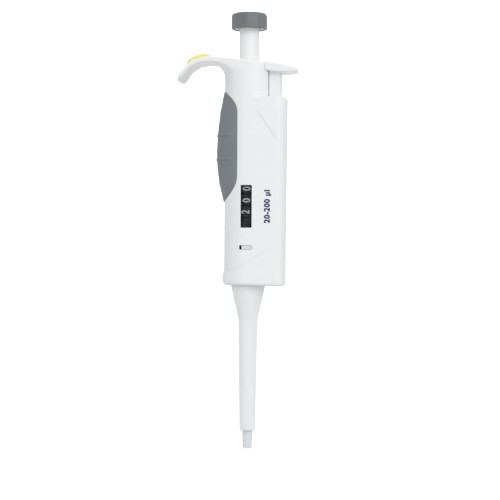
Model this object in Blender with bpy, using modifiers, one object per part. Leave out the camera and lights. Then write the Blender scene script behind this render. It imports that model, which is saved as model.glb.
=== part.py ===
"""A single-channel adjustable-volume air-displacement pipette, 20 to 200 microlitres.

Every size is in millimetres, and MM turns it into Blender's metres where a shape is made.
The frame: +Z runs up the plunger's axis, z = 0 is the underside of the handle, +X is the
front (the tip ejector's side), -X the back (finger hook and palm grip), and the volume
window faces -Y. Everything stands at rest, set to 200 microlitres.
"""

import math

import bmesh
import bpy
from mathutils import Matrix, Vector

MM = 0.001
GAP = 0.3

# Handle shell: a round back about the plunger's axis and a box section in front.
HANDLE_RADIUS = 12.9
HANDLE_FRONT = 19.3
FRONT_BULGE = 0.5
FRONT_CORNER = 4.5
WALL = 1.9
CAVITY_RADIUS = HANDLE_RADIUS - WALL
CAVITY_FRONT = HANDLE_FRONT - 1.7
FRONT_RAKE = 0.6
BOX_TOP = 99.0
COLUMN_TOP = 118.0
COLUMN_TOP_SLOPE = -0.11
COLUMN_FRONT = 10.8
COLUMN_WALL = 1.6
CEILING = 114.5
FLOOR = 2.0
SEAM = 0.15

# Window and small slot, both on the -Y side, centred on the axis.
WINDOW_HALF_WIDTH = 2.9
WINDOW_Z = (30.3, 52.6)
SLOT_X = (-3.5, 3.4)
SLOT_Z = (19.0, 21.2)

# Palm grip, a soft pad let into the round back.
GRIP_Z = (43.7, 102.8)
GRIP_EDGE_X = -5.0
GRIP_BACK = 17.1
GRIP_DEPTH = 1.2
GRIP_WIDEST_Z = 69.0

# Finger hook.
HOOK_HALF_WIDTH = 11.0
HOOK_TIP_X = -37.7
HOOK_CORNER = 7.0
CAP_HALF_WIDTH = 8.0
CAP_CORNER = 3.0

# Plunger: button, stem and the parts that turn with it.
BUTTON_RADIUS = 9.4
BUTTON_SIDES = 10
BUTTON_Z = (135.5, 144.3)
BUTTON_HOLLOW_RADIUS = 7.9
BUTTON_TURN = math.radians(15)
STEM_RADIUS = 5.3
STEM_BORE = 3.2
STEM_Z = (93.0, 139.0)
SLEEVE_OUTER = 8.6
SLEEVE_INNER = 7.7
SLEEVE_Z = (54.4, 112.0)
KEY_WIDTH = 2.0
KEY_REACH = 8.3

# Piston: 200 microlitres is 12.575 mm of a 4.5 mm rod, and blow-out adds 2.925 mm.
PISTON_RADIUS = 2.25
PISTON_Z = (-20.0, 24.7)
PISTON_CLEARANCE = 2.55
HEAD_RADIUS = 4.0
HEAD_Z = (25.0, 27.0)
PUSHER_SIDE = 4.2
PUSHER_Z = (27.3, 62.0)
SCREW_RADIUS = 2.4
SCREW_Z = (62.3, 112.0)

# Counter: four drums on one tube, with two transfer pinions beside them.
DRUM_RADIUS = 10.2
DRUM_BORE = 5.0
DRUM_PITCH = 6.1
DRUM_HEIGHT = 5.7
UNITS_DRUM_CENTRE = 51.2
PINION_X = 11.4
PINION_Y = 7.6
PINION_RADIUS = 3.1
PINION_TEETH = 8

# Tip ejector: lever, bar, rod, foot and sleeve, which travel 9 mm together.
BAR_X = (11.2, 17.0)
BAR_HALF_WIDTH = 4.0
BAR_Z = (84.0, 114.0)
ROD_X = 14.3
ROD_RADIUS = 1.5
LEVER_TIP_X = 26.3
LEVER_HALF_WIDTH = 9.5
FOOT_Z = (11.8, 13.3)

# Nose: tip cone inside the ejector's sleeve.
CONE_END = -85.8
SLEEVE_END = -76.6


def clear_scene():
    for obj in list(bpy.data.objects):
        bpy.data.objects.remove(obj, do_unlink=True)


def add_collection(name):
    collection = bpy.data.collections.new(name)
    bpy.context.scene.collection.children.link(collection)
    return collection


def add_material(name, colour, roughness, metallic=0.0):
    material = bpy.data.materials.new(name)
    material.use_nodes = True
    shader = material.node_tree.nodes["Principled BSDF"]
    shader.inputs["Base Color"].default_value = (*colour, 1.0)
    shader.inputs["Roughness"].default_value = roughness
    shader.inputs["Metallic"].default_value = metallic
    return material


def add_object(name, data, look):
    """An object in the parts' collection or, with no look, a helper that isn't a part."""
    obj = bpy.data.objects.new(name, data)
    if look is None:
        CUTTERS.objects.link(obj)
        obj.hide_render = True
        obj.display_type = "WIRE"
    else:
        PARTS.objects.link(obj)
        material = LOOKS[look].copy()
        material.name = name
        data.materials.clear()
        data.materials.append(material)
    return obj


def evaluated_mesh(obj):
    bpy.context.view_layer.update()
    graph = bpy.context.evaluated_depsgraph_get()
    return bpy.data.meshes.new_from_object(obj.evaluated_get(graph))


def weld_and_orient(mesh):
    cage = bmesh.new()
    cage.from_mesh(mesh)
    bmesh.ops.remove_doubles(cage, verts=cage.verts, dist=1e-6)
    bmesh.ops.recalc_face_normals(cage, faces=cage.faces)
    cage.to_mesh(mesh)
    cage.free()


def turned(name, profile, look, steps=24, at=(0, 0)):
    """A solid turned about +Z. The profile's (radius, height) points run down the outer side."""
    mesh = bpy.data.meshes.new(name)
    points = [(radius * MM, 0, height * MM) for radius, height in profile]
    edges = [(i, i + 1) for i in range(len(points) - 1)]
    if profile[0][0] > 0:
        edges.append((len(points) - 1, 0))
    mesh.from_pydata(points, edges, [])
    obj = add_object(name, mesh, look)
    obj.location = (at[0] * MM, at[1] * MM, 0)
    screw = obj.modifiers.new("Turn", "SCREW")
    screw.steps = steps
    screw.render_steps = steps
    screw.use_merge_vertices = True
    screw.merge_threshold = 1e-5
    return obj


def rod(name, radius, low, high, look, steps=20, at=(0, 0)):
    profile = [(0, high), (radius, high), (radius, low), (0, low)]
    return turned(name, profile, look, steps, at)


def ring(name, outer, inner, low, high, look, steps=24, at=(0, 0)):
    profile = [(outer, high), (outer, low), (inner, low), (inner, high)]
    return turned(name, profile, look, steps, at)


def box(name, x, y, z, look):
    mesh = bpy.data.meshes.new(name)
    cage = bmesh.new()
    bmesh.ops.create_cube(cage, size=1)
    spans = [(high - low) * MM for low, high in (x, y, z)]
    centre = [(high + low) / 2 * MM for low, high in (x, y, z)]
    bmesh.ops.transform(cage, matrix=Matrix.Diagonal((*spans, 1)), verts=cage.verts)
    bmesh.ops.transform(cage, matrix=Matrix.Translation(centre), verts=cage.verts)
    cage.to_mesh(mesh)
    cage.free()
    return add_object(name, mesh, look)


def extruded(name, outline, low, high, look, upright=False, smooth=0):
    """An outline made thick. It lies in XY or, when upright, in XZ. smooth rounds it off."""
    curve = bpy.data.curves.new(name, "CURVE")
    curve.dimensions = "2D"
    curve.fill_mode = "BOTH"
    curve.extrude = (high - low) / 2 * MM
    spline = curve.splines.new("BEZIER" if smooth else "POLY")
    points = spline.bezier_points if smooth else spline.points
    points.add(len(outline) - 1)
    for point, (across, up) in zip(points, outline):
        point.co = Vector((across, up, 0)) * MM if smooth else (across * MM, up * MM, 0, 1)
        if smooth:
            point.handle_left_type = "AUTO"
            point.handle_right_type = "AUTO"
    spline.use_cyclic_u = True
    curve.resolution_u = max(smooth, 1)
    source = bpy.data.objects.new(name + "_outline", curve)
    bpy.context.scene.collection.objects.link(source)
    mesh = evaluated_mesh(source)
    bpy.data.objects.remove(source, do_unlink=True)
    middle = (low + high) / 2 * MM
    place = Matrix.Translation((0, 0, middle))
    if upright:
        place = Matrix.Translation((0, middle, 0)) @ Matrix.Rotation(math.pi / 2, 4, "X")
    mesh.transform(place)
    weld_and_orient(mesh)
    return add_object(name, mesh, look)


def loft(name, rings, look):
    """A skin over rings with the same number of points, closed by a face at either end."""
    cage = bmesh.new()
    rows = [[cage.verts.new(Vector(point) * MM) for point in each] for each in rings]
    count = len(rows[0])
    for lower, upper in zip(rows, rows[1:]):
        for i in range(count):
            j = (i + 1) % count
            cage.faces.new((lower[i], lower[j], upper[j], upper[i]))
    cage.faces.new(rows[0])
    cage.faces.new(rows[-1])
    bmesh.ops.recalc_face_normals(cage, faces=cage.faces)
    mesh = bpy.data.meshes.new(name)
    cage.to_mesh(mesh)
    cage.free()
    return add_object(name, mesh, look)


def coil(name, radius, wire, low, high, turns, look, at=(0, 0), points_per_turn=8):
    """A compression spring: a round wire of the given radius, coiled between low and high."""
    curve = bpy.data.curves.new(name, "CURVE")
    curve.dimensions = "3D"
    curve.bevel_depth = wire * MM
    curve.bevel_resolution = 2
    curve.use_fill_caps = True
    count = turns * points_per_turn + 1
    spline = curve.splines.new("POLY")
    spline.points.add(count - 1)
    for i, point in enumerate(spline.points):
        angle = math.tau * i / points_per_turn
        height = low + wire + (high - low - 2 * wire) * i / (count - 1)
        x = at[0] + radius * math.cos(angle)
        y = at[1] + radius * math.sin(angle)
        point.co = (x * MM, y * MM, height * MM, 1)
    return add_object(name, curve, look)


def combine(obj, other, operation="DIFFERENCE"):
    boolean = obj.modifiers.new(other.name, "BOOLEAN")
    boolean.operation = operation
    boolean.solver = "EXACT"
    boolean.object = other
    return obj


def arc(centre_x, centre_y, radius, start, end, count):
    """Points along an arc, with angles in degrees and both ends included."""
    angles = [math.radians(start + (end - start) * i / (count - 1)) for i in range(count)]
    return [(centre_x + radius * math.cos(a), centre_y + radius * math.sin(a)) for a in angles]


def handle_outline(back=HANDLE_RADIUS, inset=0.0, rake=0.0):
    """Plan of the lower handle: how far the round back reaches, and how far the front leans out."""
    radius = HANDLE_RADIUS - inset
    stretch = (back - inset) / radius
    corner = FRONT_CORNER - inset
    corner_x = HANDLE_FRONT - FRONT_CORNER + rake
    corner_y = HANDLE_RADIUS - FRONT_CORNER
    round_back = [(x * stretch, y) for x, y in arc(0, 0, radius, 90, 270, 17)]
    right = arc(corner_x, -corner_y, corner, -90, -10, 4)
    left = arc(corner_x, corner_y, corner, 10, 90, 4)
    front = HANDLE_FRONT + FRONT_BULGE - inset + rake
    return round_back + right + [(front, 0)] + left


def column_outline():
    """Plan of the upper column, point for point with the lower handle's outline."""
    half = math.degrees(math.acos(COLUMN_FRONT / HANDLE_RADIUS))
    round_back = arc(0, 0, HANDLE_RADIUS, 90, 270, 17)
    right = arc(0, 0, HANDLE_RADIUS, -78, -half, 4)
    left = arc(0, 0, HANDLE_RADIUS, half, 78, 4)
    return round_back + right + [(COLUMN_FRONT, 0)] + left


def hook_profile():
    """Side view of the hook: along its top to the tip, then back along the finger's side."""
    top = [(-3, 116), (-4.6, 118.8), (-10, 119.4), (-16, 120.2), (-21.5, 120.5), (-26.2, 119.6), (-30, 118)]
    tip = [(-33.4, 115), (-36.2, 111.3), (-37.7, 108.5), (-37.6, 106.7), (-36.7, 106.1), (-35.8, 107.6)]
    finger_side = [(-34.1, 110.6), (-31, 114.4), (-26.6, 116.6), (-21.6, 117.3), (-17, 116.4)]
    root = [(-13.8, 113.8), (-12.2, 109.5), (-9, 106), (-4, 108)]
    return top + tip + finger_side + root


def hook_plan():
    inner = HOOK_HALF_WIDTH - HOOK_CORNER
    corner_x = HOOK_TIP_X - 0.2 + HOOK_CORNER
    far = arc(corner_x, inner, HOOK_CORNER, 90, 180, 6)
    near = arc(corner_x, -inner, HOOK_CORNER, 180, 270, 6)
    return far + near + [(-3, -HOOK_HALF_WIDTH), (-3, HOOK_HALF_WIDTH)]


def hook_blade():
    blade = extruded("hook_blade", hook_profile(), -14, 14, None, upright=True, smooth=3)
    plan = extruded("hook_plan", hook_plan(), 100, 125, None)
    return combine(blade, plan, "INTERSECT")


def handle_body():
    """Chamfered foot, small collar bulge, box section with a level top, then the column."""
    levels = [(0, 13.1, 1.2), (1.2, 13.7, 0), (4.5, 13.9, 0), (9, 13.1, 0), (16, HANDLE_RADIUS, 0)]
    rings = [[(x, y, z) for x, y in handle_outline(back, inset)] for z, back, inset in levels]
    for outline in (handle_outline(rake=FRONT_RAKE), column_outline()):
        rings.append([(x, y, BOX_TOP) for x, y in outline])
    rings.append([(x, y, COLUMN_TOP + COLUMN_TOP_SLOPE * x) for x, y in column_outline()])
    body = loft("handle_body", rings, None)
    weld_and_orient(body.data)
    return body


def handle_cavity():
    """The space for the works, with ledges that the bushes and frames sit against."""
    ledge = 9.6
    profile = [(0, 125), (5.6, 125), (5.6, CEILING), (CAVITY_RADIUS, CEILING)]
    for top, low in ((108.3, 107.3), (103.7, 102.7), (66.3, 65.3), (61.7, 60.7), (27.3, 26.3), (15.7, 14.7)):
        profile += [(CAVITY_RADIUS, top), (ledge, top), (ledge, low), (CAVITY_RADIUS, low)]
    profile += [(CAVITY_RADIUS, FLOOR), (9.5, FLOOR), (9.5, -3), (0, -3)]
    cavity = turned("handle_cavity", profile, None, 36)
    wall_x = COLUMN_FRONT - COLUMN_WALL
    front_wall = box("column_front_wall", (wall_x, 20), (-15, 15), (95.3, 126), None)
    return combine(cavity, front_wall)


def grip_back(height):
    """How far the grip reaches behind the axis at this height: a swelling that fades out."""
    low, high = GRIP_Z
    side = high - GRIP_WIDEST_Z if height > GRIP_WIDEST_Z else GRIP_WIDEST_Z - low
    offset = min(abs(height - GRIP_WIDEST_Z) / side, 1)
    return HANDLE_RADIUS + (GRIP_BACK - HANDLE_RADIUS) * (1 - offset ** 1.9)


def grip_edge_angle(height, margin):
    """Angle from straight back to the grip's front edge: a lens with a long straight middle."""
    low, high = GRIP_Z
    widest = math.acos(-GRIP_EDGE_X / HANDLE_RADIUS)
    from_end = min((height - low + margin) / 14, (high - height + margin) / 12, 1)
    lens = math.sqrt(max(1 - (1 - max(from_end, 0)) ** 2, 0))
    return max(widest * lens ** 1.25, 0.02) + margin / HANDLE_RADIUS


def grip_solid(name, inner, proud, margin, look, swell=True):
    """The grip's shape between the inner radius and its outer surface, grown by margin."""
    low, high = GRIP_Z
    fractions = [0, 0.03, 0.08, 0.15, 0.24, 0.4, 0.55, 0.7, 0.81, 0.89, 0.95, 0.985, 1]
    across = 13
    rings = []
    for fraction in fractions:
        height = low - margin + (high - low + 2 * margin) * fraction
        reach = grip_edge_angle(height, margin)
        outside = []
        inside = []
        for i in range(across):
            share = 2 * i / (across - 1) - 1
            angle = math.pi + reach * share
            rise = (grip_back(height) - HANDLE_RADIUS) * math.cos(angle + math.pi) ** 2 if swell else 0
            radius = HANDLE_RADIUS + proud + rise * (1 - share ** 4)
            outside.append((radius * math.cos(angle), radius * math.sin(angle), height))
            inside.append((inner * math.cos(angle), inner * math.sin(angle), height))
        rings.append(outside + inside[::-1])
    return loft(name, rings, look)


def housing():
    """The shell as one helper, then its two halves, which meet at Y = 0."""
    shell = handle_body()
    combine(shell, hook_blade(), "UNION")
    combine(shell, handle_cavity())
    half = CAVITY_RADIUS - 0.1
    combine(shell, box("front_cavity", (1, CAVITY_FRONT), (-half, half), (FLOOR + 0.25, 95.1), None))
    slot_x = (BAR_X[0] - 0.35, BAR_X[1] + 0.35)
    slot_y = (-BAR_HALF_WIDTH - 0.4, BAR_HALF_WIDTH + 0.4)
    combine(shell, box("bar_slot", slot_x, slot_y, (94, 101), None))
    width = (-WINDOW_HALF_WIDTH, WINDOW_HALF_WIDTH)
    combine(shell, box("window_opening", width, (-15, -10.4), WINDOW_Z, None))
    combine(shell, box("slider_slot", SLOT_X, (-15, -10.4), SLOT_Z, None))
    recess = HANDLE_RADIUS - GRIP_DEPTH
    combine(shell, grip_solid("grip_recess", recess, 1.5, GAP, None, swell=False))
    mesh = evaluated_mesh(shell)
    weld_and_orient(mesh)
    for name, removed in (("housing_left", (-SEAM, 20)), ("housing_right", (-20, SEAM))):
        half = add_object(name, mesh.copy(), "white")
        combine(half, box(name + "_other_side", (-45, 30), removed, (-5, 130), None))


def grip_pad():
    inner = HANDLE_RADIUS - GRIP_DEPTH + GAP
    grip_solid("grip_pad", inner, 0.15, 0, "grey_soft")


def colour_cap():
    """The volume-code insert: a thin curved tile on the hook's top."""
    under = [(-32.5, 116.7), (-30.9, 118.2), (-27.1, 119.95), (-22.3, 120.95), (-19.8, 121.0)]
    over = [(-20.1, 121.6), (-22.6, 122.1), (-25.5, 121.9), (-28.1, 121.1), (-31, 119.5), (-32.9, 117.4)]
    tile = extruded("colour_cap", under + over, -CAP_HALF_WIDTH, CAP_HALF_WIDTH, "yellow", upright=True)
    low_x, high_x, corner = -33.1 + CAP_CORNER, -19.7 - CAP_CORNER, CAP_CORNER
    inner = CAP_HALF_WIDTH - corner
    plan = arc(low_x, inner, corner, 90, 180, 5) + arc(low_x, -inner, corner, 180, 270, 5)
    plan += arc(high_x, -inner, corner, 270, 360, 5) + arc(high_x, inner, corner, 0, 90, 5)
    combine(tile, extruded("cap_plan", plan, 112, 125, None), "INTERSECT")


def button_ring(radius, height, corner=0.5):
    """The button's ten sides, each corner rounded off by three points."""
    points = []
    for side in range(BUTTON_SIDES):
        middle = BUTTON_TURN + math.tau * side / BUTTON_SIDES
        for turn, shrink in ((-corner, 0.16), (0, 0.05), (corner, 0.16)):
            angle = middle + turn / BUTTON_RADIUS
            reach = radius - shrink * radius / BUTTON_RADIUS
            points.append((reach * math.cos(angle), reach * math.sin(angle), height))
    return points


def round_ring(radius, height):
    points = []
    for side in range(BUTTON_SIDES):
        for third in (-1, 0, 1):
            angle = BUTTON_TURN + math.tau * (side + third / 3) / BUTTON_SIDES
            points.append((radius * math.cos(angle), radius * math.sin(angle), height))
    return points


def button():
    low, high = BUTTON_Z
    rings = [
        round_ring(BUTTON_HOLLOW_RADIUS, high - 2.9),
        round_ring(BUTTON_HOLLOW_RADIUS, low),
        button_ring(BUTTON_RADIUS - 0.5, low),
        button_ring(BUTTON_RADIUS, low + 0.5),
        button_ring(BUTTON_RADIUS, high - 1.5),
        button_ring(BUTTON_RADIUS - 0.5, high - 0.7),
        button_ring(BUTTON_RADIUS - 1.7, high - 0.2),
        round_ring(4, high),
    ]
    loft("button_cap", rings, "grey_hard")
    bore = STEM_RADIUS + GAP
    top = high - 2.9 - GAP
    outside = BUTTON_HOLLOW_RADIUS - GAP
    profile = [
        (0, top), (outside, top), (outside, low + 0.5), (6.4, low + 0.5), (6.4, low + 2.3),
        (bore, low + 2.3), (bore, STEM_Z[1] + GAP), (0, STEM_Z[1] + GAP),
    ]
    turned("button_insert", profile, "white")


def stem():
    low, high = STEM_Z
    profile = [
        (STEM_RADIUS, high), (STEM_RADIUS, low), (4.3, low), (4.3, low + 6),
        (STEM_BORE, low + 6), (STEM_BORE, high - 6), (0.6, high - 6), (0.6, high),
    ]
    turned("plunger_stem", profile, "white", 28)
    ring("drive_nut", 4.0, 2.7, low + 0.2, low + 5.7, "brass", 20)
    collar = ring("drive_collar", SLEEVE_INNER - 0.4, STEM_RADIUS + GAP, low, low + 4, "grey_hard")
    half_key = KEY_WIDTH / 2
    combine(collar, box("collar_keys", (-KEY_REACH, KEY_REACH), (-half_key, half_key), (low, low + 4), None), "UNION")
    combine(collar, rod("collar_bore", STEM_RADIUS + GAP, low - 2, low + 6, None, 24))


def drive_sleeve():
    low, high = SLEEVE_Z
    sleeve = ring("drive_sleeve", SLEEVE_OUTER, SLEEVE_INNER, low, high, "grey_hard", 28)
    half_slot = KEY_WIDTH / 2 + 0.35
    stroke = (STEM_Z[0] - 17, STEM_Z[0] + 6)
    combine(sleeve, box("key_slots", (-12, 12), (-half_slot, half_slot), stroke, None))
    bearing = ring("upper_bearing", CAVITY_RADIUS - GAP, SLEEVE_OUTER + GAP, 104, 107, "natural", 28)
    combine(bearing, box("bearing_flat", (8.2, 20), (-15, 15), (100, 110), None))
    ring("lower_bearing", CAVITY_RADIUS - GAP, SLEEVE_OUTER + GAP, 62, 65, "natural", 28)


def plunger_works():
    """The thrust washer, the feed screw, the pusher that can't turn, and the main spring."""
    ring("thrust_washer", 7.2, 2.9, 91.1, 92.7, "steel")
    rod("volume_screw", SCREW_RADIUS, *SCREW_Z, "brass")
    half = PUSHER_SIDE / 2
    box("pusher_rod", (-half, half), (-half, half), PUSHER_Z, "grey_hard")
    coil("main_spring", 6.2, 0.45, 58.5, 90.8, 8, "steel")
    rod("piston_head", HEAD_RADIUS, *HEAD_Z, "steel")
    rod("piston", PISTON_RADIUS, *PISTON_Z, "steel")


def drum(name, centre):
    low = centre - DRUM_HEIGHT / 2
    high = centre + DRUM_HEIGHT / 2
    hub = DRUM_BORE + 1.2
    rim = DRUM_RADIUS - 1.0
    profile = [
        (DRUM_RADIUS, high), (DRUM_RADIUS, low), (rim, low), (rim, low + 4),
        (hub, low + 4), (hub, low), (DRUM_BORE, low), (DRUM_BORE, high),
    ]
    turned(name, profile, "black", 30)


def pinion(name, centre):
    """An eight-tooth transfer pinion, turned half a tooth away from the drums."""
    points = []
    for tooth in range(PINION_TEETH):
        for share, radius in ((0.1, 2.0), (0.3, PINION_RADIUS), (0.6, PINION_RADIUS), (0.8, 2.0)):
            angle = math.tau * (tooth + share) / PINION_TEETH
            points.append((PINION_X + radius * math.cos(angle), PINION_Y + radius * math.sin(angle)))
    wheel = extruded(name, points, centre - 1.6, centre + 1.6, "natural")
    combine(wheel, rod(name + "_bore", 1.15, centre - 3, centre + 3, None, 12, (PINION_X, PINION_Y)))


def counter():
    names = ("units_drum", "tens_drum", "hundreds_drum", "blank_drum")
    for place, name in enumerate(names):
        drum(name, UNITS_DRUM_CENTRE - place * DRUM_PITCH)
    for place, name in enumerate(("tens_pinion", "hundreds_pinion")):
        pinion(name, UNITS_DRUM_CENTRE - (place + 0.5) * DRUM_PITCH)
    ring("counter_axle", DRUM_BORE - 0.4, 3.4, 29.8, 57.6, "grey_hard")
    ring("counter_retainer", 7.2, DRUM_BORE - 0.1, 54.6, 58.2, "grey_hard")
    plate = ring("guide_plate", CAVITY_RADIUS - 0.4, 1.5, 27.6, 29.5, "grey_hard", 28)
    ear = box("plate_ear", (6.0, 14.6), (3.5, 10.6), (27.6, 29.5), None)
    combine(plate, ear, "UNION")
    half = PUSHER_SIDE / 2 + 0.4
    combine(plate, box("pusher_hole", (-half, half), (-half, half), (25, 32), None))
    place = (PINION_X, PINION_Y)
    rod("pinion_shaft", 0.8, 29.8, 57.8, "steel", 12, place)
    bracket = box("pinion_bracket", (9.6, 14.8), (4.6, 10.6), (55.6, 57.4), "grey_hard")
    combine(bracket, rod("bracket_bore", 1.15, 50, 62, None, 12, place))


def lever_plan():
    """Plan of the ejector's lever: horns that hug the round column, and a rounded tip."""
    hug = HANDLE_RADIUS + 0.5
    horn = math.degrees(math.asin(LEVER_HALF_WIDTH / hug))
    flat = math.degrees(math.acos((COLUMN_FRONT + 0.4) / hug))
    inner = arc(0, 0, hug, horn, flat, 5) + arc(0, 0, hug, -flat, -horn, 5)
    tip_radius = 7.5
    tip_x = LEVER_TIP_X - tip_radius
    side = LEVER_HALF_WIDTH - tip_radius
    near = arc(tip_x, -side, tip_radius, -80, 0, 6)
    far = arc(tip_x, side, tip_radius, 0, 80, 6)
    return inner + near + far


def lever_profile():
    """Side view of the lever: a wedge that falls and thins towards its rounded tip."""
    top = [(7, 117.4), (15, 116.2), (23.4, 114.9), (25.5, 114.5)]
    tip = [(26.15, 114.0), (26.3, 113.3), (25.8, 112.7), (24.6, 112.4)]
    under = [(17.4, 112.2), (12, 112.7), (7, 113.7)]
    return top + tip + under


def ejector():
    lever = extruded("ejector_lever", lever_profile(), -14, 14, "white", upright=True)
    combine(lever, extruded("lever_plan", lever_plan(), 105, 122, None), "INTERSECT")
    bar = box("lever_bar", BAR_X, (-BAR_HALF_WIDTH, BAR_HALF_WIDTH), BAR_Z, None)
    combine(lever, bar, "UNION")
    place = (ROD_X, 0)
    combine(lever, rod("bar_socket", ROD_RADIUS + GAP, BAR_Z[0] - 2, 90, None, 16, place))
    rod("ejector_rod", ROD_RADIUS, FOOT_Z[0], 89.6, "steel", 16, place)
    ring("rod_clip", 3.0, ROD_RADIUS + GAP, 79.4, 80.4, "steel", 16, place)
    coil("ejector_spring", 2.5, 0.35, 60.4, 79.1, 8, "steel", place)
    guide = box("rod_guide", (11.1, 17.3), (-5, 5), (58, 60), "grey_hard")
    combine(guide, rod("guide_bore", ROD_RADIUS + 0.4, 55, 63, None, 16, place))
    foot = ring("ejector_foot", 10.4, 9.2, *FOOT_Z, "steel", 28)
    tab = box("foot_tab", (9.6, 17.0), (-3.2, 3.2), FOOT_Z, None)
    combine(foot, tab, "UNION")
    combine(foot, rod("foot_bore", ROD_RADIUS + GAP, 8, 16, None, 16, place))


def ejector_sleeve():
    """The outer sleeve: a collar inside the handle, a flared shoulder and a long taper."""
    outer = [
        (9.7, 14.3), (9.7, 13.6), (8.9, 13.6), (8.9, 0.6), (9.1, 0.0), (8.3, -3.4), (7.7, -6.6), (6.9, -9.8),
        (6.15, -13.0), (5.5, -16.2), (5.05, -19.3), (4.8, -28.9), (4.1, SLEEVE_END + 0.5), (3.8, SLEEVE_END),
    ]
    inner = [
        (3.1, SLEEVE_END), (4.05, -21), (4.6, -16.6), (5.2, -13.2), (5.9, -10.2), (6.8, -6.4), (7.2, -2.5), (7.2, 14.3),
    ]
    turned("ejector_sleeve", outer + inner, "white", 24)


def nose():
    """The frame that the cone screws into, the cone, and the seals round the piston."""
    frame = [(10.6, 18), (10.6, 16), (6.8, 16), (6.8, 1.0), (5.7, 1.0), (5.7, 18)]
    turned("lower_frame", frame, "grey_hard", 28)
    outer = [
        (5.3, 13), (5.3, 0.7), (6.6, 0.7), (6.6, -1.3), (5.4, -2.0), (5.4, -9.6), (4.75, -12.8),
        (4.2, -16.2), (3.7, -20), (3.2, -48), (2.7, SLEEVE_END), (2.42, CONE_END + 0.4), (2.2, CONE_END),
    ]
    inner = [
        (0.8, CONE_END), (0.8, -50), (PISTON_CLEARANCE, -48), (PISTON_CLEARANCE, -15.6),
        (3.5, -15.6), (3.5, -9.6), (4.4, -9.6), (4.4, 13),
    ]
    turned("tip_cone", outer + inner, "natural", 20)
    ring("seal_o_ring", 3.2, PISTON_CLEARANCE, -15.3, -13.7, "rubber", 20)
    ring("piston_seal", 3.2, PISTON_CLEARANCE, -13.4, -11.6, "natural", 20)
    ring("seal_retainer", 3.2, PISTON_CLEARANCE, -11.3, -9.4, "steel", 20)
    coil("blowout_spring", 3.6, 0.3, -9.3, -4.1, 3, "steel")
    ring("blowout_washer", 4.1, PISTON_CLEARANCE + 0.2, -3.8, -2.4, "steel", 20)


def window_and_slider():
    half = WINDOW_HALF_WIDTH - GAP
    low, high = WINDOW_Z
    box("window_lens", (-half, half), (-12.1, -11.1), (low + GAP, high - GAP), "clear")
    key = box("lock_slider", (-2.3, 3.05), (-12.6, -9.7), (SLOT_Z[0] + 0.35, SLOT_Z[1] - 0.35), "grey_light")
    flange = box("slider_flange", (-3.6, 4.6), (-9.9, -9.2), (SLOT_Z[0] - 0.4, SLOT_Z[1] + 0.5), None)
    combine(key, flange, "UNION")


clear_scene()
PARTS = add_collection("adjustable_pipette")
CUTTERS = add_collection("cutters")
LOOKS = {
    "white": add_material("white_plastic", (0.83, 0.84, 0.84), 0.42),
    "natural": add_material("natural_plastic", (0.70, 0.71, 0.74), 0.45),
    "grey_hard": add_material("grey_plastic", (0.18, 0.195, 0.215), 0.45),
    "grey_soft": add_material("grey_soft_plastic", (0.21, 0.225, 0.245), 0.65),
    "grey_light": add_material("light_grey_plastic", (0.62, 0.63, 0.64), 0.5),
    "yellow": add_material("yellow_plastic", (0.87, 0.75, 0.05), 0.4),
    "black": add_material("black_plastic", (0.012, 0.013, 0.018), 0.45),
    "clear": add_material("clear_plastic", (0.9, 0.92, 0.93), 0.08),
    "steel": add_material("stainless_steel", (0.56, 0.57, 0.58), 0.28, 1.0),
    "brass": add_material("brass", (0.72, 0.52, 0.22), 0.3, 1.0),
    "rubber": add_material("black_rubber", (0.02, 0.02, 0.02), 0.8),
}
housing()
grip_pad()
colour_cap()
button()
stem()
drive_sleeve()
plunger_works()
counter()
ejector()
ejector_sleeve()
nose()
window_and_slider()
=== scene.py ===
"""Looks of the adjustable-volume pipette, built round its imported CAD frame.

Shapes are worked out in millimetres, in the CAD frame, and become metres when a mesh is made:
+Z runs up the plunger's axis, +X is the front and the volume window faces -Y.
"""

import math

import bmesh
import bpy
import numpy as np
from mathutils import Matrix, Vector


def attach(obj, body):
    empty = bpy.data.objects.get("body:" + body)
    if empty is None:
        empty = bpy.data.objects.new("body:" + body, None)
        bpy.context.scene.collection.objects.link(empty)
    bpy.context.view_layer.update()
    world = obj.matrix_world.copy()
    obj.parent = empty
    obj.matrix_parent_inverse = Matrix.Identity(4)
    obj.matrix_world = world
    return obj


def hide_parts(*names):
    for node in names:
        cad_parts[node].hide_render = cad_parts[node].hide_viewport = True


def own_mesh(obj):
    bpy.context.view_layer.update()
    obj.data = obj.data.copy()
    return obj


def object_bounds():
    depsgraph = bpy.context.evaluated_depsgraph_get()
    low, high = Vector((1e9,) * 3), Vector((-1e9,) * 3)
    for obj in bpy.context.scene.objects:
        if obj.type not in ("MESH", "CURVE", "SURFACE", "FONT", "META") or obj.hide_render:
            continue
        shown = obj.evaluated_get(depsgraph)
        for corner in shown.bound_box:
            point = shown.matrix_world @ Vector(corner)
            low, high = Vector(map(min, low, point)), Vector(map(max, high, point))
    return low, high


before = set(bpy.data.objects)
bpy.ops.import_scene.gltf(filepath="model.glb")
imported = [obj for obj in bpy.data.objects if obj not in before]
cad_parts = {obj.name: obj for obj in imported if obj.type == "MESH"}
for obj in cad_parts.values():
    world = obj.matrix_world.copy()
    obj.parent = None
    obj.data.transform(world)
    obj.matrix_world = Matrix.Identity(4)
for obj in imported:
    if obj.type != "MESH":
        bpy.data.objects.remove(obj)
cad_low, cad_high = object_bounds()

MM = 0.001

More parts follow.
